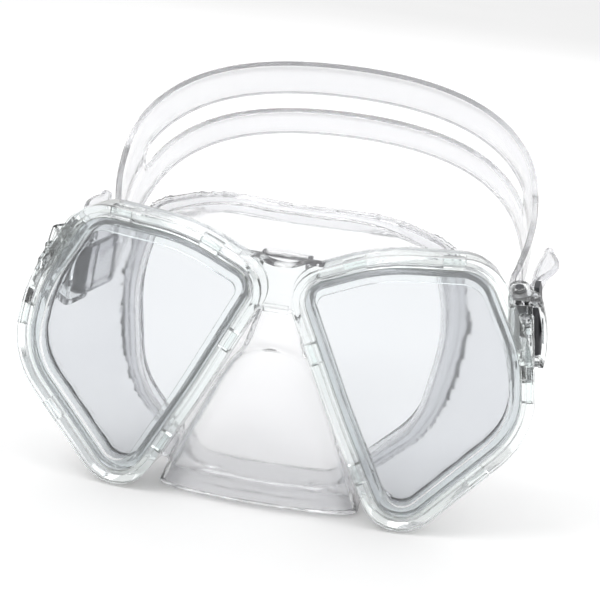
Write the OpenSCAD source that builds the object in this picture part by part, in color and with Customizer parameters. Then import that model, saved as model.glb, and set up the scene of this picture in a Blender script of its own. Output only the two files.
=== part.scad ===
// Twin-lens diving mask with a clear frame, a soft face skirt and a split head strap.
// Millimetres. +X is the wearer's left, +Y points back to the face, +Z is up.
// The origin is where the skirt's seal rests on the bridge of the nose.
// Each lens lies in its own plane: u runs outward, v runs up and w points forward from the back of the glass.

/* [Lenses and rims] */
// Angle by which each lens is swept back from the middle
lens_cant = 7; // [5:0.5:9]
// Distance from the lenses' shared middle line forward of the origin
lens_front = 20; // [18:0.5:22]
// Thickness of the tempered glass
lens_t = 3.2; // [2.8:0.1:3.4]
// How far the rims stand out past the edge of the glass
rim_out = 4.2; // [4:0.1:4.8]
// How far the bezels reach in over the edge of the glass
rim_in = 3.8; // [3:0.1:4.4]
// How far the frame reaches back behind the glass
rim_back = 7; // [6.5:0.1:8]
// Thickness of the bezel's front face
bezel_t = 1.9; // [1.6:0.1:2.4]

/* [Bridge] */
// Height of the middle of the bridge above the origin
bridge_z = 17.5; // [16:0.5:19]
// Height of the bridge
bridge_h = 14; // [12:0.5:15]

/* [Skirt] */
// Thickness of the skirt's wall
skirt_wall = 1.6; // [1.4:0.1:2]
// Half the width of the seal at the temples
seal_x = 61; // [58:0.5:63]
// Height of the forehead flange
seal_top = 38; // [36:0.5:40]
// Depth of the seal under the nose
seal_low = 56; // [54:0.5:57]

/* [Buckles] */
// Distance of each buckle's swivel pin from the middle
swivel_x = 77.5; // [77:0.1:78]
// How far behind the origin the swivel pins are
swivel_y = -1; // [-1.5:0.1:0]
// Height of the swivel pins' middles
swivel_z = 7; // [5:0.5:9]
// Angle by which the top of each pin leans inward
lean_in = 10; // [8:1:12]
// Angle by which the top of each pin leans forward
lean_forward = 20; // [15:1:22]
// Inward swing of the buckle at +X
toe_right = -8; // [-12:1:0]
// Inward swing of the buckle at -X
toe_left = 26; // [22:1:27]

/* [Strap] */
// Width of the strap's single ends
strap_w = 19.6; // [19:0.1:20]
// Thickness of the strap
strap_t = 2; // [1.8:0.1:2.1]
// Width of the two bands and their slot at the back of the head
back_w = 42; // [40:0.5:46]
// Width of the slot between the bands
slot_w = 11.6; // [9:0.2:14]
// Middle of the back of the strap
strap_back = [8, 77, 62]; // [0:1:90]
// Angle by which the back of the strap lies tilted
strap_tilt = 47; // [40:1:55]

/* [Hidden] */
eps = 0.01;
smooth = 64;
clear_pc = [0.90, 0.94, 0.95, 0.45];
clear_soft = [0.92, 0.93, 0.97, 0.6];
smoke = [0.30, 0.30, 0.32];
steel = [0.72, 0.73, 0.75];

// Corners of the glass: u, v and the radius of the corner, clockwise from the one beside the bridge
lens_corners = [[6, 19, 7], [30, 29, 60], [62, 31, 12], [76, 6, 50], [80, -18, 24], [44, -58, 9],
    [24.2, -20, 300]];
arc_steps = 7;

// The frame's wall and the ledge behind the glass
wall_t = 2.1;
wall_out = rim_out - 0.3;
wall_in = wall_out - wall_t;
wall_front = lens_t + 0.2;
ledge_in = -1;
ledge_t = 2.6;

// The bezel's leg fits between the glass and the frame's wall, and its clips snap into windows in the wall
bezel_back = lens_t + 0.4;
leg_in = 0.35;
leg_out = wall_in - 0.1;
leg_back = 1.4;
clip_l = 6.5;
clip_h = 2.4;
clip_low = -1.4;
window_gap = 0.3;
// Where each bezel's clips sit: u, v and the direction that the clip faces, in degrees
clip_places = [[23, 26.2, 113], [52, 30.4, 93], [78, -6, 8], [66.5, -33, -48], [34.1, -38, 207],
    [15.5, -0.5, 205]];

// The skirt's bead, which the glass presses against the ledge
bead_in = -2.8;
bead_out = leg_in - 0.1;
bead_front = -0.05;
bead_back = -(rim_back - ledge_t) + 0.1;
neck_out = ledge_in - 0.3;

// Right half of the seal's outer edge and of its opening: x, z and corner radius, matched to lens_corners
mid_x = -2;
seal_corners = [[mid_x, seal_top, 3], [28, seal_top + 0.5, 60], [seal_x - 8, seal_top - 9, 16],
    [seal_x, 3, 60], [seal_x - 6, -34, 26], [27, -seal_low, 12], [mid_x, -seal_low, 3]];
lip_corners = [[mid_x, seal_top - 7, 2], [27, seal_top - 7, 50], [seal_x - 15, seal_top - 15, 14],
    [seal_x - 9, 3, 50], [seal_x - 14, -29, 22], [22, 6 - seal_low, 9], [mid_x, 6 - seal_low, 2]];
face_y = 10;
face_curve = 20;
lip_forward = 5;

// The skirt's waist, as a share of the seal's outline in x and in z
waist_x = 0.87;
waist_z = 0.93;
// The skirt's walls from front to back: share of the way to the waist in x and in z, and to the seal in y
wall_stages = [[0, 0, 0], [0.55, 0.2, 0.2], [0.9, 0.6, 0.42], [1, 1, 0.64]];

// Level slices of the nose pocket and the web above it: z, half width and front
nose_slices = [[26, 8, -11.5], [10, 8, -11.5], [8.5, 6.2, -15], [0, 10, -15], [-5, 12, -16], [-9, 13.5, -20],
    [-16, 16, -22.5], [-28, 21.5, -24], [-40, 27, -23.5], [-50, 31, -21.5], [-seal_low, 33, -17]];
nose_arc = 12;
// Depth of the arches' feet
nose_base = -9;

// The buckle, in its own axes: x outward, y back and z along the swivel pin, which is the origin
pin_r = 1.25;
running_gap = 0.05;
knuckle_r = 2.5;
knuckle_z0 = 5;
knuckle_z1 = 9.4;
lug_reach = 9;
web_w = 4.1;
// Radius of the hollow in the rim that the buckle's barrel turns in
barrel_room = 2.9;
barrel_z = 4.7;
cheek_z0 = 10.4;
cheek_z1 = 12.8;
cross_y0 = 4;
cross_y1 = 5.6;
cross_x0 = -6;
cross_x1 = 1.4;
band_x0 = 3;
band_x1 = 4.6;
roller_pos = [-3.6, 12];
roller_r = 2.2;
trunnion_r = 1.4;
strap_gap = 0.1;
wrap_in = roller_r + strap_gap;
wrap_out = wrap_in + strap_t;
lever_pos = [2, 7.8];
lever_pin_r = 0.7;
lever_barrel_r = 1.5;
lever_x0 = roller_pos.x + wrap_out + 0.35;
lever_x1 = lever_x0 + 1.7;
lever_y1 = 18;
lever_z = 13.2;
lever_barrel_z = 10;
// The ridge on the lever that grips the strap
grip_y = 13;
grip_w = 1.4;
grip_z = 9;
grip_out = 0.2;
inner_run_y = 21;
outer_run_y = 18;
tail_l = 20;
tail_nub_r = 1.6;
tail_lift = 14;
tail_turn_right = -3;
tail_turn_left = -27;
tail_overlap = 1;
band_bow = 1.4;

// The strap's route: each half leaves its buckle and meets the other at the back
strap_join_gap = 1;
strap_lead_left = 8;
strap_lead_right = 12;
strap_reach_left = -88;
strap_reach_right = 92;
widen_from = 0.08;
widen_to = 0.55;
slot_from = 0.5;
slot_round = 0.035;
slot_drop = 1.5;
route_steps = 12;

// ---- outlines ----

function unit(a) = a / norm(a);
function short_turn(a) = a - 360 * round(a / 360);

// Points of a corner between two edges, moved outward by grow from the corner of radius r
function corner(before, at, after, r, grow) =
    let (a = unit(before - at), b = unit(after - at), half = acos(a * b) / 2,
        centre = at + unit(a + b) * r / sin(half),
        from = at + a * r / tan(half) - centre,
        to = at + b * r / tan(half) - centre,
        start = atan2(from.y, from.x), turn = short_turn(atan2(to.y, to.x) - start))
    [for (k = [0:arc_steps]) let (a = start + turn * k / arc_steps) centre + (r + grow) * [cos(a), sin(a)]];

function flat(p) = [p[0], p[1]];

// Closed outline through corners given as [x, y, radius], moved outward by grow
function outline(corners, grow) =
    let (n = len(corners))
    [for (i = [0:n - 1]) let (at = corners[i])
        each corner(flat(corners[(i + n - 1) % n]), flat(at), flat(corners[(i + 1) % n]), at[2], grow)];

function lens_line(grow) = outline(lens_corners, grow);

// ---- placing ----

module both_sides() {
    children();
    mirror([1, 0, 0]) children();
}

module on_side(side) {
    if (side > 0) children();
    else mirror([1, 0, 0]) children();
}

// Moves children from a lens plane (u, v, w) to the +X lens
module on_lens() {
    translate([0, -lens_front, 0]) rotate([0, 0, lens_cant]) rotate([90, 0, 0]) children();
}

// The same for one point
function lens_point(p, w) =
    [p.x * cos(lens_cant) + w * sin(lens_cant), p.x * sin(lens_cant) - w * cos(lens_cant) - lens_front, p.y];

function toe(side) = side > 0 ? toe_right : toe_left;

// Moves children that lie along z to the +X swivel pin
module on_pin() {
    translate([swivel_x, swivel_y, swivel_z])
        rotate([0, -lean_in, 0]) rotate([lean_forward, 0, 0]) children();
}

// Moves children from a buckle's own axes to its place
module on_swivel(side) {
    on_side(side) on_pin() rotate([0, 0, toe(side)]) children();
}

function turn_x(p, a) = [p.x, p.y * cos(a) - p.z * sin(a), p.y * sin(a) + p.z * cos(a)];
function turn_y(p, a) = [p.x * cos(a) + p.z * sin(a), p.y, p.z * cos(a) - p.x * sin(a)];
function turn_z(p, a) = [p.x * cos(a) - p.y * sin(a), p.x * sin(a) + p.y * cos(a), p.z];

// A direction and a point given in a buckle's own axes
function buckle_way(p, side) =
    let (q = turn_y(turn_x(turn_z(p, toe(side)), lean_forward), -lean_in)) [side * q.x, q.y, q.z];
function buckle_point(p, side) = [side * swivel_x, swivel_y, swivel_z] + buckle_way(p, side);

// A bar along z between two heights, and the same bar mirrored below
module bar_z(z0, z1) {
    translate([0, 0, z0]) linear_extrude(z1 - z0) children();
}

module pair_z(z0, z1) {
    bar_z(z0, z1) children();
    bar_z(-z1, -z0) children();
}

// ---- rims ----

// A band that follows the edge of the glass, between two distances from it and two depths
module rim_band(inner, outer, w0, w1) {
    translate([0, 0, w0]) linear_extrude(w1 - w0) difference() {
        polygon(lens_line(outer));
        polygon(lens_line(inner));
    }
}

// A block at each clip, from the edge of the glass out to a distance
module clip_blocks(inner, outer, length, low, high) {
    for (place = clip_places)
        translate([place.x, place.y, low]) rotate([0, 0, place.z])
            translate([inner, -length / 2, 0]) cube([outer - inner, length, high - low]);
}

// Front of the bridge: it narrows towards the nose, and a round dip hollows its top
module bridge_outline() {
    low = bridge_z - bridge_h / 2;
    high = bridge_z + bridge_h / 2;
    neck = low + 6;
    dip_r = 15;
    difference() {
        polygon([[-13, high + 2], [13, high + 2], [9, neck], [7, low], [-7, low], [-9, neck]]);
        translate([0, high + dip_r]) circle(r = dip_r, $fn = smooth);
    }
}

module bridge() {
    depth = 8;
    back = 6;
    step_w = 8;
    step_out = 1.4;
    step_h = 2.4;
    translate([0, back - lens_front, 0]) rotate([90, 0, 0]) linear_extrude(depth) bridge_outline();
    translate([-step_w / 2, back - depth - step_out - lens_front, bridge_z - bridge_h / 2])
        cube([step_w, depth + step_out, step_h]);
}

// The two knuckles that hold a swivel pin, and the lug that ties them to the rim
module side_lug() {
    on_pin() pair_z(knuckle_z0, knuckle_z1) {
        circle(r = knuckle_r, $fn = smooth);
        translate([-knuckle_r, -lug_reach]) square([web_w, lug_reach]);
    }
}

module pin_bore() {
    on_pin() cylinder(r = pin_r, h = 3 * knuckle_z1, center = true, $fn = smooth);
}

module main_frame() {
    color(clear_pc) difference() {
        union() {
            both_sides() difference() {
                on_lens() {
                    rim_band(wall_in, wall_out, -rim_back, wall_front);
                    rim_band(ledge_in, wall_in + eps, -rim_back, ledge_t - rim_back);
                }
                on_pin() cylinder(r = barrel_room, h = 2 * knuckle_z0, center = true, $fn = smooth);
            }
            bridge();
            both_sides() difference() {
                side_lug();
                on_lens() translate([0, 0, ledge_t - rim_back])
                    linear_extrude(3 * rim_back) polygon(lens_line(wall_in));
            }
        }
        both_sides() on_lens() {
            translate([0, 0, -1.5 * rim_back]) linear_extrude(3 * rim_back) polygon(lens_line(ledge_in));
            translate([0, 0, ledge_t - rim_back]) linear_extrude(3 * rim_back) polygon(lens_line(wall_in));
            clip_blocks(wall_in - 1, wall_out + 1, clip_l + 2 * window_gap, clip_low - window_gap,
                clip_low + clip_h + window_gap);
        }
        both_sides() pin_bore();
    }
}

module lens_bezel(side) {
    color(clear_pc) on_side(side) on_lens() {
        rim_band(-rim_in, rim_out, bezel_back, bezel_back + bezel_t);
        rim_band(leg_in, leg_out, leg_back, bezel_back + eps);
        intersection() {
            clip_blocks(leg_in, wall_out - 0.4, clip_l, clip_low, clip_low + clip_h);
            rim_band(leg_in, wall_out - 0.4, clip_low - 1, leg_back + 4);
        }
        intersection() {
            clip_blocks(leg_in - 2, leg_out + 0.5, clip_l, clip_low, leg_back + 1);
            rim_band(leg_in, leg_out, clip_low, leg_back + eps);
        }
    }
}

module lens(side) {
    color([0.85, 0.95, 0.92, 0.3]) on_side(side) on_lens() linear_extrude(lens_t) polygon(lens_line(0));
}

// ---- skirt ----

// The face that the seal lies against, as a depth at x, z
function face_depth(x, z) =
    face_y + face_curve * pow(x / seal_x, 2) - lip_forward * pow(max(0, -z) / seal_low, 2);

function lens_loop(grow, w) = [for (p = lens_line(grow)) lens_point(p, w)];
function face_loop(corners, grow, shift) =
    [for (p = outline(corners, grow)) [p.x, face_depth(p.x, p.y) + shift, p.y]];
function between(a, b, stage) =
    let (share = [stage[0], stage[2], stage[1]])
    [for (i = [0:len(a) - 1]) [for (k = [0:2]) a[i][k] + (b[i][k] - a[i][k]) * share[k]]];
function middle(loop) = [for (k = [0:2]) [for (p = loop) p[k]] * [for (p = loop) 1] / len(loop)];

// A closed solid through rings that run clockwise seen from the front, from the front ring back
module loft(rings) {
    n = len(rings[0]);
    last = len(rings) - 1;
    points = concat([for (ring = rings) each ring], [middle(rings[0])], [middle(rings[last])]);
    polyhedron(points, concat(
        [for (r = [0:last - 1]) for (i = [0:n - 1])
            each [[r * n + i, (r + 1) * n + i, r * n + (i + 1) % n],
                [r * n + (i + 1) % n, (r + 1) * n + i, (r + 1) * n + (i + 1) % n]]],
        [for (i = [0:n - 1]) [i, (i + 1) % n, (last + 1) * n]],
        [for (i = [0:n - 1]) [last * n + (i + 1) % n, last * n + i, (last + 1) * n + 1]]));
}

// One half of the chamber between the glass and the face
module chamber(inset, shift) {
    front = lens_loop(neck_out - inset, -rim_back - 1);
    seal = face_loop(seal_corners, -inset, shift);
    waist = [for (p = seal) [waist_x * p.x, p.y, waist_z * p.z]];
    loft(concat([lens_loop(neck_out - inset, inset > 0 ? 2 : bead_back + 1)],
        [for (stage = wall_stages) between(front, waist, stage)], [seal]));
}

module lip_opening() {
    loft([face_loop(lip_corners, 0, -5), face_loop(lip_corners, 0, 5)]);
}

// The nose pocket: an arch in every level slice, open to the back
function nose_ring(slice, inset) =
    let (half = slice[1] - inset, front = slice[2] + inset, base = nose_base + inset,
        back = face_depth(0, slice[0]) - 0.5 + 3 * inset)
    concat([for (k = [0:nose_arc]) let (a = 180 * k / nose_arc)
            [half * cos(a), base - (base - front) * sin(a), slice[0]]],
        [[-half, back, slice[0]], [half, back, slice[0]]]);

module nose_pocket(inset) {
    last = len(nose_slices) - 1;
    loft([for (i = [0:last]) let (s = nose_slices[i])
        nose_ring([s[0] + (i == 0 ? -inset : i == last ? inset : 0), s[1], s[2]], inset)]);
}

module skirt() {
    color(clear_soft) union() {
        both_sides() on_lens() rim_band(bead_in, bead_out, bead_back, bead_front);
        difference() {
            union() {
                both_sides() chamber(0, 0);
                nose_pocket(0);
            }
            both_sides() {
                chamber(skirt_wall, -skirt_wall);
                lip_opening();
            }
            nose_pocket(skirt_wall);
        }
    }
}

// ---- strap ----

function bezier(p, t) =
    pow(1 - t, 3) * p[0] + 3 * pow(1 - t, 2) * t * p[1] + 3 * (1 - t) * t * t * p[2] + pow(t, 3) * p[3];
function ease(t) = let (s = min(1, max(0, t))) s * s * (3 - 2 * s);

run_x = roller_pos.x - wrap_in - strap_t / 2;
function strap_half(side) =
    let (start = buckle_point([run_x, inner_run_y + strap_join_gap, 0], side))
    [start, start + (side > 0 ? strap_lead_right : strap_lead_left) * buckle_way([0, 1, 0], side),
        [side > 0 ? strap_reach_right : strap_reach_left, strap_back.y, strap_back.z], strap_back];

// Where the strap's cross-sections are: evenly spaced, and closer together round the slot's ends
half_steps = concat([for (i = [0:route_steps]) slot_from * i / route_steps],
    [for (k = [1:4]) slot_from + slot_round * (1 - cos(22.5 * k))],
    [for (i = [1:route_steps]) slot_from + slot_round + (1 - slot_from - slot_round) * i / route_steps]);
last_step = len(half_steps) - 1;
strap_steps = concat([for (t = half_steps) [-1, t]], [for (i = [last_step - 1:-1:0]) [1, half_steps[i]]]);

back_across = [0, -sin(strap_tilt), cos(strap_tilt)];

// Half of the slot's width at a step: 0 where the two bands are one
function slot_half(t) = t <= slot_from ? 0
    : slot_w / 2 * sqrt(max(0, 1 - pow(max(0, slot_from + slot_round - t) / slot_round, 2)));

// One cross-section: outer, upper inner, lower inner and lower outer edges, each behind and in front
function strap_ring(step) =
    let (side = step[0], t = step[1], route = strap_half(side),
        along = unit(bezier(route, min(1, t + 0.01)) - bezier(route, t - 0.01)),
        share = ease(t / 0.35),
        rough = (1 - share) * buckle_way([0, 0, 1], side) + share * back_across,
        across = unit(rough - (rough * along) * along),
        through = cross(along, across) * side * strap_t / 2,
        wide = ease((t - widen_from) / (widen_to - widen_from)),
        half = (strap_w + (back_w - strap_w) * wide) / 2,
        slot = slot_half(t),
        here = bezier(route, t))
    [for (edge = [half, slot - slot_drop * wide, -slot - slot_drop * wide, -half])
        each [here + edge * across + through, here + edge * across - through]];

// Index of a point of cross-section s: edge 0 to 3 from the top down, and 0 behind or 1 in front.
// Where the slot is closed, the two inner edges are the same points.
function strap_index(s, edge, front) = 8 * s + 2 * (edge == 2 && !slot_open(s) ? 1 : edge) + front;
function slot_open(s) = slot_half(strap_steps[s][1]) > 0;

// Two triangles between cross-sections s and s + 1, from one point of each section to another
function strap_quad(s, a, b) =
    let (a0 = strap_index(s, a[0], a[1]), a1 = strap_index(s + 1, a[0], a[1]),
        b0 = strap_index(s, b[0], b[1]), b1 = strap_index(s + 1, b[0], b[1]))
    [[a0, a1, b0], [b0, a1, b1]];

module strap() {
    last = len(strap_steps) - 1;
    sheets = [[[0, 0], [0, 1]], [[0, 1], [1, 1]], [[2, 1], [3, 1]],
        [[3, 1], [3, 0]], [[3, 0], [2, 0]], [[1, 0], [0, 0]]];
    slot_walls = [[[1, 1], [1, 0]], [[2, 0], [2, 1]]];
    function quads(s) = concat(sheets, slot_open(s) || slot_open(s + 1) ? slot_walls : []);
    rim = [[0, 0], [0, 1], [1, 1], [3, 1], [3, 0], [1, 0]];
    function end_face(s) = [for (p = rim) strap_index(s, p[0], p[1])];
    color(clear_soft) polyhedron([for (step = strap_steps) each strap_ring(step)], concat(
        [for (s = [0:last - 1]) for (q = quads(s)) each strap_quad(s, q[0], q[1])],
        [end_face(0)], [[for (k = [5:-1:0]) end_face(last)[k]]]));
}

// The end of the strap: it comes in along the mask's side of the roller, turns round it and lies back outside
module strap_end_outline() {
    translate(roller_pos) {
        difference() {
            circle(r = wrap_out, $fn = smooth);
            circle(r = wrap_in, $fn = smooth);
            translate([-2 * wrap_out, 0]) square(4 * wrap_out);
        }
        translate([-wrap_out, -eps]) square([strap_t, inner_run_y - roller_pos.y]);
        translate([wrap_in, -eps]) square([strap_t, outer_run_y - roller_pos.y]);
    }
}

// The tail narrows in two arcs to a point with a round nub
module tail_outline() {
    arc_offset = tail_l / 2;
    arc_from = 4;
    point = arc_from + sqrt(tail_l * tail_l - arc_offset * arc_offset);
    translate([0, -tail_overlap]) intersection() {
        translate([-strap_w / 2, 0]) square([strap_w, 2 * tail_l]);
        union() {
            translate([-strap_w / 2, 0]) square([strap_w, arc_from + 1]);
            intersection() {
                translate([arc_offset, arc_from]) circle(r = tail_l, $fn = smooth);
                translate([-arc_offset, arc_from]) circle(r = tail_l, $fn = smooth);
            }
            translate([0, point - 0.6]) circle(r = tail_nub_r, $fn = smooth);
        }
    }
}

module strap_end(side) {
    color(clear_soft) on_swivel(side) union() {
        bar_z(-strap_w / 2, strap_w / 2) strap_end_outline();
        translate([roller_pos.x + wrap_in + strap_t, outer_run_y, 0])
            rotate([tail_lift, 0, side > 0 ? tail_turn_right : tail_turn_left]) rotate([0, -90, 0])
            linear_extrude(strap_t) tail_outline();
    }
}

// ---- buckle ----

// Side view of a cheek: a plate between the cross wall, the roller's eye and the lever's eye
module cheek_outline() {
    roller_eye = 3.3;
    lever_eye = 1.6;
    difference() {
        union() {
            translate(roller_pos) circle(r = roller_eye, $fn = smooth);
            translate(lever_pos) circle(r = lever_eye, $fn = smooth);
            polygon([[cross_x0, cross_y0], [band_x1, cross_y0], [band_x1, cross_y1],
                lever_pos + [lever_eye, 0], roller_pos + [2, 2],
                roller_pos - [roller_eye, 0], [roller_pos.x - roller_eye, cross_y1]]);
        }
        translate(roller_pos) circle(r = trunnion_r + running_gap, $fn = smooth);
        translate(lever_pos) circle(r = lever_pin_r, $fn = smooth);
    }
}

// The bowed band along the buckle's outer side
module bowed_band() {
    reach = cheek_z1;
    bow_r = (reach * reach + band_bow * band_bow) / (2 * band_bow);
    translate([0, cross_y1, 0]) rotate([90, 0, 0]) linear_extrude(cross_y1 - cross_y0 + 0.4) intersection() {
        translate([band_x0, -reach]) square([2 * band_x0, 2 * reach]);
        difference() {
            translate([band_x1 + band_bow - bow_r, 0]) circle(r = bow_r, $fn = 3 * smooth);
            translate([band_x0 + band_bow - bow_r, 0]) circle(r = bow_r, $fn = 3 * smooth);
        }
    }
}

module buckle_body(side) {
    color(clear_pc) on_swivel(side) difference() {
        union() {
            pair_z(cheek_z0, cheek_z1) cheek_outline();
            bar_z(-cheek_z1, cheek_z1)
                translate([cross_x0, cross_y0]) square([cross_x1 - cross_x0, cross_y1 - cross_y0]);
            bar_z(-barrel_z, barrel_z) {
                circle(r = knuckle_r, $fn = smooth);
                translate([-knuckle_r, 0]) square([web_w, cross_y1]);
            }
            bowed_band();
        }
        cylinder(r = pin_r + running_gap, h = 4 * barrel_z, center = true, $fn = smooth);
    }
}

module swivel_pin(side) {
    color(steel) on_swivel(side) cylinder(r = pin_r, h = 2 * knuckle_z1, center = true, $fn = smooth);
}

module strap_roller(side) {
    color(smoke) on_swivel(side) translate([roller_pos.x, roller_pos.y, 0]) {
        cylinder(r = roller_r, h = 2 * cheek_z0 - 0.4, center = true, $fn = smooth);
        cylinder(r = trunnion_r, h = 2 * cheek_z1 - 0.2, center = true, $fn = smooth);
    }
}

module lever_pin(side) {
    color(steel) on_swivel(side) translate([lever_pos.x, lever_pos.y, 0])
        cylinder(r = lever_pin_r, h = 2 * cheek_z1, center = true, $fn = smooth);
}

// The lever's plate with chamfered corners, seen from outside the mask
module lever_plate() {
    low = lever_pos.y + 3.4;
    chamfer = [3, 4];
    polygon([[low, -lever_z], [lever_y1 - chamfer.x, -lever_z], [lever_y1, chamfer.y - lever_z],
        [lever_y1, lever_z - chamfer.y], [lever_y1 - chamfer.x, lever_z], [low, lever_z],
        [low, lever_barrel_z], [lever_pos.y, lever_barrel_z],
        [lever_pos.y, -lever_barrel_z], [low, -lever_barrel_z]]);
}

module release_lever(side) {
    color(smoke) on_swivel(side) difference() {
        union() {
            translate([lever_x0, 0, 0]) rotate([90, 0, 90]) linear_extrude(lever_x1 - lever_x0) lever_plate();
            bar_z(-lever_barrel_z, lever_barrel_z)
                translate(lever_pos) circle(r = lever_barrel_r, $fn = smooth);
            bar_z(-grip_z, grip_z) translate([lever_x0 - grip_out, grip_y]) square([1, grip_w]);
        }
        translate([lever_pos.x, lever_pos.y, 0])
            cylinder(r = lever_pin_r + running_gap, h = 40, center = true, $fn = smooth);
    }
}

// A bent leaf of steel from the bowed band to the lever's plate, which keeps the lever shut
module lever_spring(side) {
    leaf_t = 0.35;
    leaf_half = 4;
    thick = [leaf_t, 0];
    from = [4.9, cross_y1 + 0.02];
    knee = [4.4, 8.5];
    tip = [lever_x1 + leaf_t, 11.5];
    color(steel) on_swivel(side) bar_z(-leaf_half, leaf_half)
        polygon([from, knee, tip, tip - thick, knee - thick - [0, 0.1], from - thick]);
}

main_frame();
lens_bezel(-1);  // lens_bezel_left
lens_bezel(1);  // lens_bezel_right
lens(-1);  // lens_left
lens(1);  // lens_right
skirt();
strap();
swivel_pin(-1);  // swivel_pin_left
swivel_pin(1);  // swivel_pin_right
buckle_body(-1);  // buckle_body_left
buckle_body(1);  // buckle_body_right
strap_roller(-1);  // strap_roller_left
strap_roller(1);  // strap_roller_right
release_lever(-1);  // release_lever_left
release_lever(1);  // release_lever_right
lever_pin(-1);  // lever_pin_left
lever_pin(1);  // lever_pin_right
lever_spring(-1);  // lever_spring_left
lever_spring(1);  // lever_spring_right
strap_end(-1);  // strap_end_left
strap_end(1);  // strap_end_right
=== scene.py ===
"""A clear twin-lens diving mask: materials and detailed soft parts round the CAD frame, in metres."""

import math

import bmesh
import bpy
from mathutils import Matrix, Vector


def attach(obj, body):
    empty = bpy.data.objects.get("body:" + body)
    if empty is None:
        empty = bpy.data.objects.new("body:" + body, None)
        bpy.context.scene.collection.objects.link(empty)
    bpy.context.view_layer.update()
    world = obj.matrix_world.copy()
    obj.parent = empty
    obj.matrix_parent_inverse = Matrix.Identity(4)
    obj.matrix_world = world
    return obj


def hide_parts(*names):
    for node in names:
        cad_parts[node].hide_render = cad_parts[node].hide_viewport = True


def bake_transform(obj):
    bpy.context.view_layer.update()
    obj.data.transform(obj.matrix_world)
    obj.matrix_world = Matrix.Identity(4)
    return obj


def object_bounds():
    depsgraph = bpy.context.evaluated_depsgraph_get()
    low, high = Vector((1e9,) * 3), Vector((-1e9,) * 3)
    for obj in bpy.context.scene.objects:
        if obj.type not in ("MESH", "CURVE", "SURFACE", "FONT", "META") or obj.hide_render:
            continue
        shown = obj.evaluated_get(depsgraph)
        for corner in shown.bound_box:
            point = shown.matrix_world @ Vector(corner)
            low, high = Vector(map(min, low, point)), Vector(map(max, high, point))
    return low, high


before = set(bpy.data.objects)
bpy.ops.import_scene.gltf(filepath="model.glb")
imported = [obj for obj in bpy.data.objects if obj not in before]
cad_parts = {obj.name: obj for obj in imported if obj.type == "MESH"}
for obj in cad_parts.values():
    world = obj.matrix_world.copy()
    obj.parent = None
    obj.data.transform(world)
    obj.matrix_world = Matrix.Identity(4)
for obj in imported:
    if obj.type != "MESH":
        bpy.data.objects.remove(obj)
cad_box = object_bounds()

MM = 0.001

# ---- the design's driving sizes, in millimetres and degrees ----

LENS_CANT = 7
LENS_FRONT = 20
RIM_BACK = 7
BEAD_IN = -2.8
BEAD_OUT = 0.25
BEAD_BACK = -4.3
NECK_OUT = -1.3
# Outline corners: two coordinates and a corner radius
LENS_CORNERS = [(6, 19, 7), (30, 29, 60), (62, 31, 12), (76, 6, 50),
                (80, -18, 24), (44, -58, 9), (24.2, -20, 300)]

SKIRT_WALL = 1.6
SEAL_X = 61
SEAL_TOP = 38
SEAL_LOW = 56
MID_X = -2
SEAL_CORNERS = [(MID_X, SEAL_TOP, 3), (28, SEAL_TOP + 0.5, 60), (SEAL_X - 8, SEAL_TOP - 9, 16),
                (SEAL_X, 3, 60), (SEAL_X - 6, -34, 26), (27, -SEAL_LOW, 12), (MID_X, -SEAL_LOW, 3)]
LIP_CORNERS = [(MID_X, SEAL_TOP - 7, 2), (27, SEAL_TOP - 7, 50), (SEAL_X - 15, SEAL_TOP - 15, 14),
               (SEAL_X - 9, 3, 50), (SEAL_X - 14, -29, 22), (22, 6 - SEAL_LOW, 9), (MID_X, 6 - SEAL_LOW, 2)]
WAIST_X = 0.87
WAIST_Z = 0.93
# The skirt's wall, from the rim to its waist: share of the way in x, in z and in y
WALL_STAGES = [(0, 0, 0), (0.55, 0.2, 0.2), (0.9, 0.6, 0.42), (1, 1, 0.64)]
# Level slices of the web under the bridge and of the nose pocket: z, half width and front
WEB_SLICES = [(26, 8, -11.5), (10, 8, -11.5), (7, 7.2, -14.5), (-2, 9.5, -15), (-12, 12, -16)]
NOSE_SLICES = [(-2.4, 2.5, -17.5), (-2.8, 5, -18.6), (-4, 8, -19.6), (-6.5, 11, -20.4), (-10, 13.8, -21.2),
               (-16, 17, -22.6), (-28, 22, -24.2), (-40, 27, -23.6), (-50, 31, -21.6), (-SEAL_LOW, 33, -17)]
NOSE_BASE = -9
NOSE_STEPS = 32
NOSE_FLATNESS = 0.85
WEB_FLATNESS = 0.75
WALL_RINGS = 17
# Moulded ribs: how far in front of the seal each stands
RIBS = (2.6, 6.2)
RIB_HEIGHT = 0.4
RIB_WIDTH = 0.7

SWIVEL = Vector((77.5, -1, 7))
LEAN_IN = 10
LEAN_FORWARD = 20
# Each side's swing of buckle and turn of tail, keyed by the sign of x
TOE = {1: -8, -1: 26}
TAIL_TURN = {1: -3, -1: -27}
ROLLER = Vector((-3.6, 12, 0))
WRAP_R = 3.3
INNER_RUN_Y = 22
OUTER_RUN_Y = 18
STRAP_W = 19.6
STRAP_T = 2
BACK_W = 42
BAND_COLUMNS = 11
SLOT_W = 11.6
SLOT_DROP = 1.5
STRAP_BACK = Vector((8, 77, 62))
STRAP_TILT = 47
STRAP_REACH = {1: 92, -1: -88}
SLOT_FROM = 0.5
SLOT_ROUND = 0.035
# The tail: where its leaf starts, the radius of the leaf's two arcs and its nub
TAIL_FROM = 3
TAIL_L = 20
NUB_R = 1.6
# How far it lifts at first and at its tip, and how far it twists, by TAIL_TWISTED along it
TAIL_LIFT_AT_ROOT = 14
TAIL_LIFT = 22
TAIL_TWIST = 38
TAIL_TWISTED = 16
# How far its tip drifts outward
TAIL_OUT = {1: 2.4, -1: 1.5}
# How far the strap runs straight from its buckle, and how much of it, from the buckle, is built as its own
# stretch
STRAP_LEAD = {1: 12, -1: 8}
BEND_TO = 0.14
SIDES = {"left": -1, "right": 1}

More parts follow.
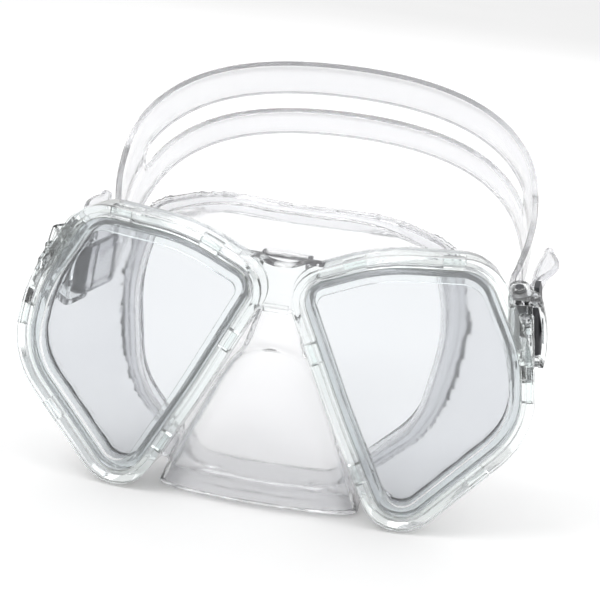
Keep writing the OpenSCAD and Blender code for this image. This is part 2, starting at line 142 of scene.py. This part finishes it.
# The camera, in metres: its place, its two ways and its lens
CAMERA_AT = (0.0564, -0.4743, 0.1459)
CAMERA_RIGHT = Vector((0.983, 0.141, 0.118))
CAMERA_AHEAD = Vector((-0.104, 0.956, -0.276))
CAMERA_LENS = 93.36


# ---- outlines and places ----

def corner(before, at, after, radius, grow, steps):
    """Points of a round corner between two edges, moved outward by grow."""
    a = (before - at).normalized()
    b = (after - at).normalized()
    half = math.acos(a.dot(b)) / 2
    centre = at + (a + b).normalized() * radius / math.sin(half)
    first = at + a * radius / math.tan(half) - centre
    last = at + b * radius / math.tan(half) - centre
    start = math.atan2(first.y, first.x)
    turn = math.remainder(math.atan2(last.y, last.x) - start, math.tau)
    angles = [start + turn * k / steps for k in range(steps + 1)]
    return [centre + (radius + grow) * Vector((math.cos(a), math.sin(a))) for a in angles]


def outline(corners, grow, steps=14):
    """Closed outline through (x, y, radius) corners, moved outward by grow."""
    count = len(corners)
    at = [Vector(c[:2]) for c in corners]
    found = []
    for i, c in enumerate(corners):
        found += corner(at[i - 1], at[i], at[(i + 1) % count], c[2], grow, steps)
    return found


def lens_point(u, v, w, side):
    """A point u across, v up and w in front of the glass's back face, on one side of the mask."""
    a = math.radians(LENS_CANT)
    x = u * math.cos(a) + w * math.sin(a)
    return Vector((side * x, u * math.sin(a) - w * math.cos(a) - LENS_FRONT, v))


def lens_ring(grow, w, side, steps=14):
    return [lens_point(p.x, p.y, w, side) for p in outline(LENS_CORNERS, grow, steps)]


def face_depth(x, z):
    return 10 + 20 * (x / SEAL_X) ** 2 - 5 * (max(0, -z) / SEAL_LOW) ** 2


def turned(point, toe):
    """A buckle's own axes turned to the mask's, for the +X side."""
    lean_in = Matrix.Rotation(math.radians(-LEAN_IN), 3, "Y")
    turn = lean_in @ Matrix.Rotation(math.radians(LEAN_FORWARD), 3, "X")
    return turn @ Matrix.Rotation(math.radians(toe), 3, "Z") @ Vector(point)


def buckle_way(point, side):
    found = turned(point, TOE[side])
    return Vector((side * found.x, found.y, found.z))


def buckle_point(point, side):
    return Vector((side * SWIVEL.x, SWIVEL.y, SWIVEL.z)) + buckle_way(point, side)


def ease(t):
    t = min(1, max(0, t))
    return t * t * (3 - 2 * t)


def inside(point, polygon):
    """True if a point (x, y) lies in a polygon."""
    hit = False
    for i, b in enumerate(polygon):
        a = polygon[i - 1]
        if (a.y > point[1]) != (b.y > point[1]):
            if point[0] < a.x + (point[1] - a.y) / (b.y - a.y) * (b.x - a.x):
                hit = not hit
    return hit


# ---- meshes ----

def make(name, points, faces):
    """An object from points in millimetres, with its faces turned outward."""
    mesh = bpy.data.meshes.new(name)
    mesh.from_pydata([Vector(p) * MM for p in points], [], faces)
    made = bmesh.new()
    made.from_mesh(mesh)
    bmesh.ops.recalc_face_normals(made, faces=made.faces)
    made.to_mesh(mesh)
    made.free()
    thing = bpy.data.objects.new(name, mesh)
    bpy.context.scene.collection.objects.link(thing)
    return thing


def freeze(thing):
    """Turns an object's modifiers into its own mesh."""
    bpy.context.view_layer.update()
    done = bpy.data.meshes.new_from_object(thing.evaluated_get(bpy.context.evaluated_depsgraph_get()))
    thing.modifiers.clear()
    thing.data = done
    done.shade_smooth()
    return thing


def grid_faces(rows, columns, closed_rows=False, closed_columns=False, start=0):
    faces = []
    for r in range(rows if closed_rows else rows - 1):
        for c in range(columns if closed_columns else columns - 1):
            after = (r + 1) % rows
            beside = (c + 1) % columns
            faces.append([start + r * columns + c, start + after * columns + c,
                          start + after * columns + beside, start + r * columns + beside])
    return faces


def loft(rings, start=0):
    """Points and faces of a closed solid through rings."""
    count = len(rings[0])
    points = [p for ring in rings for p in ring]
    faces = grid_faces(len(rings), count, closed_columns=True, start=start)
    faces.append([start + i for i in range(count)])
    faces.append([start + (len(rings) - 1) * count + i for i in reversed(range(count))])
    return points, faces


def rim_sweep(name, profile, side, steps=14):
    """A ring round the glass whose cross-section is a closed list of (grow, w)."""
    rings = [lens_ring(grow, w, side, steps) for grow, w in profile]
    points = [p for ring in rings for p in ring]
    return freeze(make(name, points, grid_faces(len(rings), len(rings[0]), True, True)))


def rounded(inner, outer, low, high, radius, steps=4):
    """A rounded rectangle as (grow, w) points."""
    found = []
    for cx, cy, start in [(outer - radius, high - radius, 0), (inner + radius, high - radius, 90),
                          (inner + radius, low + radius, 180), (outer - radius, low + radius, 270)]:
        for k in range(steps + 1):
            a = math.radians(start + 90 * k / steps)
            found.append((cx + radius * math.cos(a), cy + radius * math.sin(a)))
    return found


# ---- materials ----

class Nodes:
    """A node tree under construction."""

    def __init__(self, tree):
        self.tree = tree

    def add(self, kind, **values):
        """A new node of a kind, with its properties set."""
        node = self.tree.nodes.new(kind)
        for key, value in values.items():
            setattr(node, key, value)
        return node

    def join(self, source, target):
        self.tree.links.new(source, target)

    def place(self):
        return self.add("ShaderNodeTexCoord").outputs["Object"]

    def noise(self, scale, detail=3.0, where=None):
        node = self.add("ShaderNodeTexNoise")
        node.inputs["Scale"].default_value = scale
        node.inputs["Detail"].default_value = detail
        self.join(where or self.place(), node.inputs["Vector"])
        return node.outputs["Fac"]

    def ramp(self, factor, stops):
        """A colour from (position, colour) stops."""
        node = self.add("ShaderNodeValToRGB")
        while len(node.color_ramp.elements) < len(stops):
            node.color_ramp.elements.new(0.5)
        for element, (position, colour) in zip(node.color_ramp.elements, stops):
            element.position = position
            element.color = (*colour, 1)
        self.join(factor, node.inputs["Fac"])
        return node.outputs["Color"]

    def level(self, factor, low, high):
        """A number from low to high as factor goes from 0 to 1."""
        node = self.add("ShaderNodeMapRange")
        node.inputs["To Min"].default_value = low
        node.inputs["To Max"].default_value = high
        self.join(factor, node.inputs["Value"])
        return node.outputs["Result"]


class Look(Nodes):
    """A node material under construction."""

    def __init__(self, name):
        self.material = bpy.data.materials.new(name)
        self.material.use_nodes = True
        super().__init__(self.material.node_tree)
        self.tree.nodes.clear()
        self.output = self.add("ShaderNodeOutputMaterial")

    def bump(self, height, distance, strength):
        node = self.add("ShaderNodeBump")
        node.inputs["Strength"].default_value = strength
        node.inputs["Distance"].default_value = distance
        self.join(height, node.inputs["Height"])
        return node.outputs["Normal"]

    def principled(self, **values):
        node = self.add("ShaderNodeBsdfPrincipled")
        for key, value in values.items():
            node.inputs[key.replace("_", " ")].default_value = value
        self.join(node.outputs["BSDF"], self.output.inputs["Surface"])
        return node


def polycarbonate():
    look = Look("clear_polycarbonate")
    shader = look.principled(IOR=1.5, Transmission_Weight=1.0)
    cloud = look.noise(60)
    look.join(look.ramp(cloud, [(0.3, (0.955, 0.985, 0.978)), (0.7, (0.985, 0.995, 0.995))]),
              shader.inputs["Base Color"])
    look.join(look.level(look.noise(400, 2), 0.02, 0.07), shader.inputs["Roughness"])
    look.join(look.bump(look.noise(180, 2), 0.00012, 0.35), shader.inputs["Normal"])
    return look.material


def lens_glass():
    """Clear through its faces and green along its cut edges."""
    look = Look("tempered_glass")
    shader = look.principled(IOR=1.5, Transmission_Weight=1.0, Roughness=0.0)
    normal = look.add("ShaderNodeNewGeometry").outputs["True Normal"]
    split = look.add("ShaderNodeSeparateXYZ")
    look.join(normal, split.inputs["Vector"])
    facing = look.add("ShaderNodeMath", operation="ABSOLUTE")
    look.join(split.outputs["Y"], facing.inputs[0])
    edge = look.ramp(look.noise(70, 2), [(0.34, (0.06, 0.28, 0.20)), (0.50, (0.20, 0.48, 0.38)),
                                         (0.58, (0.60, 0.50, 0.16)), (0.66, (0.12, 0.38, 0.28))])
    body = look.ramp(look.noise(14, 2), [(0.3, (0.755, 0.775, 0.80)), (0.7, (0.79, 0.81, 0.83))])
    blend = look.add("ShaderNodeMix", data_type="RGBA")
    look.join(look.ramp(facing.outputs[0], [(0.45, (0, 0, 0)), (0.75, (1, 1, 1))]), blend.inputs["Factor"])
    look.join(edge, blend.inputs["A"])
    look.join(body, blend.inputs["B"])
    look.join(blend.outputs["Result"], shader.inputs["Base Color"])
    return look.material


def soft_clear(name, pale, deep, milk):
    """Soft clear vinyl: it bends light like a soft lens, with a faint milky tint and a satin skin."""
    look = Look(name)
    shader = look.principled(IOR=1.4)
    shader.inputs["Transmission Weight"].default_value = 1 - milk
    look.join(look.ramp(look.noise(35, 4), [(0.3, deep), (0.7, pale)]), shader.inputs["Base Color"])
    look.join(look.level(look.noise(220, 2), 0.06, 0.2), shader.inputs["Roughness"])
    look.join(look.bump(look.noise(120, 3), 0.0002, 0.3), shader.inputs["Normal"])
    return look.material


def smoke_plastic():
    look = Look("smoke_plastic")
    shader = look.principled(IOR=1.45, Specular_IOR_Level=0.35)
    look.join(look.ramp(look.noise(240, 4), [(0.3, (0.05, 0.05, 0.054)), (0.7, (0.085, 0.085, 0.092))]),
              shader.inputs["Base Color"])
    look.join(look.level(look.noise(900, 2), 0.42, 0.6), shader.inputs["Roughness"])
    look.join(look.bump(look.noise(2600, 2), 0.00004, 0.5), shader.inputs["Normal"])
    return look.material


def stainless():
    look = Look("stainless_steel")
    shader = look.principled(Metallic=1.0)
    look.join(look.ramp(look.noise(500, 3), [(0.3, (0.58, 0.59, 0.61)), (0.7, (0.72, 0.73, 0.75))]),
              shader.inputs["Base Color"])
    look.join(look.level(look.noise(1500, 2), 0.18, 0.34), shader.inputs["Roughness"])
    return look.material


def dress(thing, material):
    thing.data.materials.clear()
    thing.data.materials.append(material)


def soften_edges(thing, width, segments=2):
    """Rounds a CAD node's sharp edges by modifiers."""
    weld = thing.modifiers.new("weld", "WELD")
    weld.merge_threshold = 0.00001
    bevel = thing.modifiers.new("edges", "BEVEL")
    bevel.width = width * MM
    bevel.segments = segments
    bevel.limit_method = "ANGLE"
    bevel.angle_limit = math.radians(38)
    thing.data.shade_smooth()
    normals = thing.modifiers.new("shading", "WEIGHTED_NORMAL")
    normals.keep_sharp = True


# ---- skirt ----

def blended(points, count):
    """count points along a Catmull-Rom curve through points."""
    found = []
    last = len(points) - 1
    for k in range(count):
        t = k / (count - 1) * last
        i = min(int(t), last - 1)
        near = [points[min(last, max(0, j))] for j in (i - 1, i, i + 1, i + 2)]
        f = t - i
        found.append(0.5 * (2 * near[1] + (near[2] - near[0]) * f
                            + (2 * near[0] - 5 * near[1] + 4 * near[2] - near[3]) * f * f
                            + (3 * near[1] - near[0] - 3 * near[2] + near[3]) * f ** 3))
    return found


def chamber_rings(side):
    """Rings of one half of the chamber, from the neck behind the glass over the waist to the seal."""
    front = lens_ring(NECK_OUT, -RIM_BACK - 1, side)
    seal = [Vector((side * p.x, face_depth(p.x, p.y), p.y)) for p in outline(SEAL_CORNERS, 0)]
    lines = []
    for a, b in zip(front, seal):
        waist = Vector((WAIST_X * b.x, b.y, WAIST_Z * b.z))
        steps = [a + (waist - a) * Vector((x, y, z)) for x, z, y in WALL_STAGES]
        lines.append(blended(steps + [b], WALL_RINGS))
    neck = lens_ring(NECK_OUT, BEAD_BACK + 1, side)
    return [neck] + [[line[k] for line in lines] for k in range(WALL_RINGS)]


def nose_rings(slices, flatness):
    """Rings of an arch in each level slice, flatter at its front and sides as flatness falls."""
    rings = []
    for z, half, front in slices:
        back = face_depth(0, z) - 0.5
        arch = []
        for k in range(NOSE_STEPS + 1):
            a = math.pi * k / NOSE_STEPS
            x = math.copysign(abs(math.cos(a)) ** flatness, math.cos(a)) * half
            arch.append(Vector((x, NOSE_BASE - (NOSE_BASE - front) * math.sin(a) ** flatness, z)))
        rings.append(arch + [Vector((-half, back, z)), Vector((half, back, z))])
    return rings


def skirt_solid(voxel):
    """The skirt's outer form as one smooth closed surface."""
    points = []
    faces = []
    forms = [chamber_rings(1), chamber_rings(-1),
             nose_rings(WEB_SLICES, WEB_FLATNESS), nose_rings(NOSE_SLICES, NOSE_FLATNESS)]
    for rings in forms:
        more, ring_faces = loft(rings, len(points))
        points += more
        faces += ring_faces
    thing = make("face_skirt", points, faces)
    thing.data.transform(Matrix.Scale(1 / MM, 4))
    remesh = thing.modifiers.new("remesh", "REMESH")
    remesh.mode = "VOXEL"
    remesh.voxel_size = voxel
    smooth = thing.modifiers.new("smooth", "SMOOTH")
    smooth.factor = 0.5
    smooth.iterations = 6
    return freeze(thing)


def lens_coordinates(p):
    """u, v, w of a point in millimetres, in its own side's lens plane."""
    a = math.radians(LENS_CANT)
    x = abs(p.x)
    y = p.y + LENS_FRONT
    return x * math.cos(a) + y * math.sin(a), p.z, x * math.sin(a) - y * math.cos(a)


def nearest(point, line):
    """The point of a closed line of (x, y) points that is nearest to a point."""
    best = None
    for i, b in enumerate(line):
        a = line[i - 1]
        share = max(0, min(1, (point - a).dot(b - a) / max((b - a).length_squared, 1e-9)))
        at = a + share * (b - a)
        if best is None or (at - point).length < (best - point).length:
            best = at
    return best


def relax_edges(made, rounds=12):
    """Evens out a mesh's open edges, and then the points beside them."""
    edge = [v for v in made.verts if v.is_boundary]
    for _ in range(rounds):
        moved = {}
        for v in edge:
            beside = [e.other_vert(v).co for e in v.link_edges if e.is_boundary]
            if len(beside) == 2:
                moved[v] = v.co * 0.5 + (beside[0] + beside[1]) * 0.25
        for v, at in moved.items():
            v.co = at
    rim = [v for v in made.verts
           if not v.is_boundary and any(e.other_vert(v).is_boundary for e in v.link_edges)]
    for _ in range(5):
        bmesh.ops.smooth_vert(made, verts=rim, factor=0.5,
                              use_axis_x=True, use_axis_y=True, use_axis_z=True)


def open_skirt(thing):
    """Cuts the way to the lenses and the way to the face out of the closed form, along clean lines."""
    lip = [p for p in outline(LIP_CORNERS, 0) if p.x > MID_X / 2]
    lip = [Vector((-0.01, SEAL_TOP - 7))] + lip + [Vector((-0.01, 6 - SEAL_LOW))]
    neck = outline(LENS_CORNERS, NECK_OUT + 0.6)
    neck_front = BEAD_BACK + 0.4
    made = bmesh.new()
    made.from_mesh(thing.data)
    gone = []
    for face in made.faces:
        c = face.calc_center_median()
        u, v, w = lens_coordinates(c)
        at_glass = w > neck_front and inside((u, v), neck)
        at_face = face.normal.y > 0.35 and c.y > face_depth(c.x, c.z) - 3 and inside((abs(c.x), c.z), lip)
        if at_glass or at_face:
            gone.append(face)
    bmesh.ops.delete(made, geom=gone, context="FACES")
    loose = [v for v in made.verts if not v.link_faces]
    bmesh.ops.delete(made, geom=loose, context="VERTS")
    for vertex in made.verts:
        if not vertex.is_boundary:
            continue
        c = vertex.co
        side = 1 if c.x > 0 else -1
        u, v, w = lens_coordinates(c)
        if c.y > face_depth(c.x, c.z) - 4:
            at = nearest(Vector((abs(c.x), c.z)), lip)
            if at.x > 0.3:
                vertex.co = Vector((side * at.x, face_depth(at.x, at.y) - 0.2, at.y))
        elif w > neck_front - 2:
            vertex.co = lens_point(u, v, neck_front, side)
    relax_edges(made)
    made.to_mesh(thing.data)
    made.free()


def rib_skirt(thing):
    """Moulded ribs round the outside of the seal."""
    for vertex in thing.data.vertices:
        c = vertex.co
        if c.y < 0:
            continue
        d = face_depth(c.x, c.z) - c.y
        height = sum(RIB_HEIGHT * math.exp(-((d - at) / RIB_WIDTH) ** 2) for at in RIBS)
        vertex.co = c + vertex.normal * height


def skirt():
    thing = skirt_solid(0.8)
    open_skirt(thing)
    rib_skirt(thing)
    thing.data.transform(Matrix.Scale(MM, 4))
    wall = thing.modifiers.new("wall", "SOLIDIFY")
    wall.thickness = SKIRT_WALL * MM
    wall.offset = -1
    freeze(thing)
    dress(thing, SILICONE)
    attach(thing, "mask")
    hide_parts("skirt")
    for name, side in SIDES.items():
        bead = rim_sweep(f"skirt_bead_{name}", rounded(BEAD_IN, BEAD_OUT, BEAD_BACK, -0.05, 0.8), side)
        dress(bead, SILICONE)
        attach(bead, "mask")


# ---- strap ----

def route(side):
    start = buckle_point((ROLLER.x - WRAP_R, INNER_RUN_Y, 0), side)
    lead = start + STRAP_LEAD[side] * buckle_way((0, 1, 0), side)
    return [start, lead, Vector((STRAP_REACH[side], STRAP_BACK.y, STRAP_BACK.z)), STRAP_BACK]


def bezier(p, t):
    return (1 - t) ** 3 * p[0] + 3 * (1 - t) ** 2 * t * p[1] + 3 * (1 - t) * t * t * p[2] + t ** 3 * p[3]


def slot_half(t):
    """Half the slot's width at a step of the strap, round at its end."""
    if t <= SLOT_FROM:
        return 0
    left = max(0, SLOT_FROM + SLOT_ROUND - t) / SLOT_ROUND
    return SLOT_W / 2 * math.sqrt(max(0, 1 - left ** 2))


def section(side, t):
    """Middle, way across, half width and the slot's two edges at a step of the strap."""
    line = route(side)
    along = (bezier(line, min(1, t + 0.01)) - bezier(line, t - 0.01)).normalized()
    share = ease(t / 0.35)
    tilt = math.radians(STRAP_TILT)
    rough = (1 - share) * buckle_way((0, 0, 1), side) + share * Vector((0, -math.sin(tilt), math.cos(tilt)))
    across = (rough - rough.dot(along) * along).normalized()
    wide = ease((t - 0.08) / 0.47)
    half = (STRAP_W + (BACK_W - STRAP_W) * wide) / 2
    slot = slot_half(t)
    return bezier(line, t), across, half, slot - SLOT_DROP * wide, -slot - SLOT_DROP * wide


def strap_row(side, t, columns):
    """Points across the strap: the upper band from the top down, then the lower band."""
    middle, across, half, upper, lower = section(side, t)
    spans = [(half, upper), (lower, -half)]
    return [middle + across * (a + (b - a) * ease_edge(k / (columns - 1)))
            for a, b in spans for k in range(columns)]


def ease_edge(f):
    """Places columns closer together near a band's two edges."""
    return 0.5 - 0.5 * math.cos(math.pi * f) * (1 - 0.35 * math.sin(math.pi * f) ** 2)


def ribbon(name, rows, columns, bands=1, skip=None):
    """A strap through rows of points, thicker along its edges, with round edges."""
    points = [p for row in rows for p in row]
    width = columns * bands
    faces = []
    for r in range(len(rows) - 1):
        for band in range(bands):
            for c in range(columns - 1):
                i = r * width + band * columns + c
                faces.append([i, i + width, i + width + 1, i + 1])
    thing = make(name, points, faces)
    group = thing.vertex_groups.new(name="thickness")
    for i in range(len(points)):
        f = (i % width % columns) / (columns - 1)
        group.add([i], 1 if min(f, 1 - f) < 0.12 else 0.8, "REPLACE")
    weld = thing.modifiers.new("join", "WELD")
    weld.merge_threshold = 0.02 * MM
    solid = thing.modifiers.new("solid", "SOLIDIFY")
    solid.thickness = STRAP_T * MM
    solid.offset = 0
    solid.vertex_group = "thickness"
    bevel = thing.modifiers.new("round", "BEVEL")
    bevel.width = 0.55 * MM
    bevel.segments = 3
    bevel.limit_method = "ANGLE"
    bevel.angle_limit = math.radians(50)
    return freeze(thing)


def head_strap():
    columns = BAND_COLUMNS
    full = SLOT_FROM + SLOT_ROUND
    closed = [BEND_TO + (SLOT_FROM - BEND_TO) * k / 28 for k in range(29)]
    rounding = [SLOT_FROM + SLOT_ROUND * (1 - math.cos(math.radians(9 * k))) for k in range(1, 11)]
    opened = [full + (1 - full) * k / 36 for k in range(1, 37)]
    steps = closed + rounding + opened
    rows = [strap_row(-1, t, columns) for t in steps]
    rows += [strap_row(1, t, columns) for t in reversed(steps[:-1])]
    thing = ribbon("head_strap", rows, columns, bands=2)
    dress(thing, STRAP)
    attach(thing, "mask")
    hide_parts("strap")


def strap_bend(name, side):
    """The stretch of strap from the head strap to its buckle's roller."""
    columns = BAND_COLUMNS
    rows = [strap_row(side, BEND_TO * k / 12, columns) for k in range(12, -1, -1)]
    rows += [[buckle_point((ROLLER.x - WRAP_R, y, z), side) for z in spread(STRAP_W / 2, 2 * columns)]
             for y in (20, 18, 16, 14)]
    thing = ribbon(f"strap_bend_{name}", rows, 2 * columns)
    dress(thing, STRAP)
    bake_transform(thing)


def spread(half, count):
    return [half - 2 * half * k / (count - 1) for k in range(count)]


def tail_point(b, z, side):
    """A point of the strap's free tail, b along it and z across it, as it lifts and twists outward."""
    share = ease(b / TAIL_TWISTED)
    turn = Matrix.Rotation(math.radians(TAIL_TURN[side]), 3, "Z")
    lift = math.radians(TAIL_LIFT_AT_ROOT + TAIL_LIFT * share)
    twist = math.radians(TAIL_TWIST * share)
    along = Vector((0, b * math.cos(lift), b * math.sin(lift)))
    across = Vector((math.sin(twist), -math.sin(lift) * math.cos(twist), math.cos(lift) * math.cos(twist)))
    out = TAIL_OUT[side] * share
    return Vector((ROLLER.x + WRAP_R + out, OUTER_RUN_Y, 0)) + turn @ (along + z * across)


def tail_half(b):
    """Half the tail's width: straight, then two arcs to a point, with a round nub at the tip."""
    leaf = STRAP_W / 2
    if b > TAIL_FROM:
        leaf = math.sqrt(max(0, TAIL_L ** 2 - (b - TAIL_FROM) ** 2)) - TAIL_L / 2
    tip = TAIL_FROM + TAIL_L * math.sin(math.radians(60)) - 0.6
    nub = math.sqrt(max(0, NUB_R ** 2 - (b - tip) ** 2))
    return max(min(STRAP_W / 2, leaf), nub, 0.4)


def strap_loop(name, side):
    """The strap's end: round the roller, back along the outside and out to its free tail."""
    columns = 15
    rows = []
    x = ROLLER.x - WRAP_R
    for y in (14, 12.8):
        rows.append([Vector((x, y, z)) for z in spread(STRAP_W / 2, columns)])
    for k in range(17):
        a = math.pi + math.pi * k / 16
        rows.append([Vector((ROLLER.x + WRAP_R * math.cos(a), ROLLER.y + WRAP_R * math.sin(a), z))
                     for z in spread(STRAP_W / 2, columns)])
    for y in (13.5, 15):
        rows.append([Vector((ROLLER.x + WRAP_R, y, z)) for z in spread(STRAP_W / 2, columns)])
    for b in [0.5 + k for k in range(17)] + [17 + 0.45 * k for k in range(1, 10)]:
        rows.append([tail_point(b, z, side) for z in spread(tail_half(b), columns)])
    rows = [[buckle_point(p, side) for p in row] for row in rows]
    thing = ribbon(f"strap_loop_{name}", rows, columns)
    dress(thing, STRAP)
    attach(thing, f"buckle_{name}")
    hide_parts(f"strap_end_{name}")


# ---- hard parts ----

def hard_parts():
    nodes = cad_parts
    soften_edges(nodes["main_frame"], 0.35)
    dress(nodes["main_frame"], CLEAR)
    for name in SIDES:
        soften_edges(nodes[f"lens_bezel_{name}"], 0.4)
        dress(nodes[f"lens_bezel_{name}"], CLEAR)
        dress(nodes[f"lens_{name}"], GLASS)
        soften_edges(nodes[f"lens_{name}"], 0.25)
        soften_edges(nodes[f"buckle_body_{name}"], 0.3)
        dress(nodes[f"buckle_body_{name}"], CLEAR)
        for node in (f"strap_roller_{name}", f"release_lever_{name}"):
            soften_edges(nodes[node], 0.3)
            dress(nodes[node], SMOKE)
        for node in (f"swivel_pin_{name}", f"lever_pin_{name}", f"lever_spring_{name}"):
            soften_edges(nodes[node], 0.08)
            dress(nodes[node], STEEL)


# ---- studio ----

def studio():
    low = cad_box[0]
    bpy.ops.mesh.primitive_plane_add(size=24, location=(0, 0, low.z - 0.0005))
    floor = bpy.context.object
    floor.name = "floor"
    look = Look("floor_paper")
    shader = look.principled(Roughness=0.9, Emission_Strength=0.14)
    shader.inputs["Emission Color"].default_value = (1, 1, 1, 1)
    look.join(look.ramp(look.noise(8), [(0.3, (0.91, 0.91, 0.91)), (0.7, (0.93, 0.93, 0.93))]),
              shader.inputs["Base Color"])
    floor.data.materials.append(look.material)
    world = bpy.data.worlds.new("studio")
    bpy.context.scene.world = world
    world.use_nodes = True
    sky = Nodes(world.node_tree)
    split = sky.add("ShaderNodeSeparateXYZ")
    sky.join(sky.add("ShaderNodeTexCoord").outputs["Generated"], split.inputs["Vector"])
    shade = sky.ramp(sky.level(split.outputs["Y"], 0.5, 1.0),
                     [(0.0, (0.42, 0.43, 0.45)), (0.55, (1, 1, 1))])
    sky.join(shade, world.node_tree.nodes["Background"].inputs["Color"])
    world.node_tree.nodes["Background"].inputs["Strength"].default_value = 0.8
    for name, place, size, power in [("key", (-0.7, -0.5, 1.1), 0.7, 5), ("fill", (0.9, -0.2, 0.7), 0.8, 2),
                                     ("back", (0.1, 1.1, 0.8), 0.9, 3)]:
        lamp = bpy.data.lights.new(name, "AREA")
        lamp.size = size
        lamp.energy = power
        light = bpy.data.objects.new(name, lamp)
        light.location = place
        light.rotation_euler = (-Vector(place)).to_track_quat("-Z", "Y").to_euler()
        bpy.context.scene.collection.objects.link(light)


def camera():
    data = bpy.data.cameras.new("camera")
    data.lens = CAMERA_LENS
    data.sensor_width = 36
    data.clip_start = 0.01
    thing = bpy.data.objects.new("camera", data)
    right = CAMERA_RIGHT.normalized()
    back = -CAMERA_AHEAD.normalized()
    up = back.cross(right).normalized()
    right = up.cross(back)
    turn = Matrix((right, up, back)).transposed().to_4x4()
    thing.matrix_world = Matrix.Translation(CAMERA_AT) @ turn
    bpy.context.scene.collection.objects.link(thing)
    bpy.context.scene.camera = thing


CLEAR = polycarbonate()
GLASS = lens_glass()
SILICONE = soft_clear("clear_silicone", (0.965, 0.967, 0.975), (0.94, 0.943, 0.958), 0.06)
STRAP = soft_clear("clear_strap", (0.965, 0.967, 0.98), (0.94, 0.943, 0.962), 0.15)
SMOKE = smoke_plastic()
STEEL = stainless()

camera()
studio()
hard_parts()
skirt()
head_strap()
for side_name, side_sign in SIDES.items():
    strap_bend(side_name, side_sign)
    strap_loop(side_name, side_sign)

scene = bpy.context.scene
scene.view_settings.view_transform = "Standard"
scene.cycles.transparent_max_bounces = 48
scene.cycles.transmission_bounces = 24
scene.cycles.max_bounces = 32
